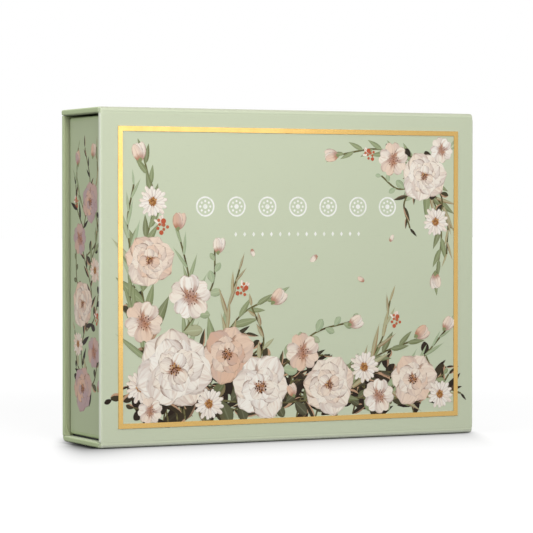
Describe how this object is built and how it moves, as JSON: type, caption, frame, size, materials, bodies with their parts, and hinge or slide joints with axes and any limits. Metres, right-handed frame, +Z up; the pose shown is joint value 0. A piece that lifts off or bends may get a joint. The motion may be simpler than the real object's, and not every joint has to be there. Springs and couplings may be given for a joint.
{
  "type": "mahjong card deck",
  "caption": "Paper-wrapped flip-top gift box with a creased lid and a magnetic flap; the tray inside holds stacks of mahjong playing cards.",
  "frame": {"origin": "on the table under the middle of the box, which stands on its spine", "axes": "+X to the right of the lid, the lid faces -Y, +Z up"},
  "size_m": [0.1248, 0.0298, 0.0988],
  "materials": {
    "wrap_paper": "printed matt art paper, sage green",
    "lining_paper": "plain pale green lining paper",
    "grey_board": "raw greyboard",
    "gold_foil": "hot-stamped gold foil, satin",
    "magnet": "nickel-plated disc",
    "tape": "double-sided white tape",
    "card_stock": "smooth coated card"
  },
  "bodies": {
    "box": {"base_board": "grey_board", "base_wrap": "wrap_paper", "base_lining": "lining_paper", "spine_board": "grey_board", "spine_wrap": "wrap_paper", "spine_lining": "lining_paper", "base_spine_crease": "wrap_paper", "spine_lid_crease": "wrap_paper", "tray_magnets": "magnet", "base_tape": "tape", "spine_tape": "tape", "tray_floor": "grey_board", "tray_left_end": "grey_board", "tray_right_end": "grey_board", "tray_top_wall": "grey_board", "tray_bottom_wall": "grey_board", "tray_wrap": "wrap_paper", "tray_lining": "lining_paper", "deck_divider": "wrap_paper", "bamboo_cards": "card_stock", "character_cards": "card_stock", "season_cards": "card_stock", "dot_cards": "card_stock", "wind_cards": "card_stock", "dragon_cards": "card_stock", "flower_cards": "card_stock", "joker_cards": "card_stock"},
    "lid": {"lid_board": "grey_board", "lid_wrap": "wrap_paper", "lid_lining": "lining_paper", "foil_frame": "gold_foil", "lid_flap_crease": "wrap_paper"},
    "flap": {"flap_board": "grey_board", "flap_wrap": "wrap_paper", "flap_lining": "lining_paper", "flap_magnets": "magnet"}
  },
  "joints": [
    {"name": "lid_hinge", "type": "hinge", "parent": "box", "child": "lid", "pos_m": [0, -0.01462, 0.00026], "axis": [1, 0, 0], "range_deg": [0, 90], "deforming": ["spine_lid_crease"]},
    {"name": "flap_hinge", "type": "hinge", "parent": "lid", "child": "flap", "pos_m": [0, -0.01462, 0.09854], "axis": [1, 0, 0], "range_deg": [0, 90], "deforming": ["lid_flap_crease"]}
  ]
}
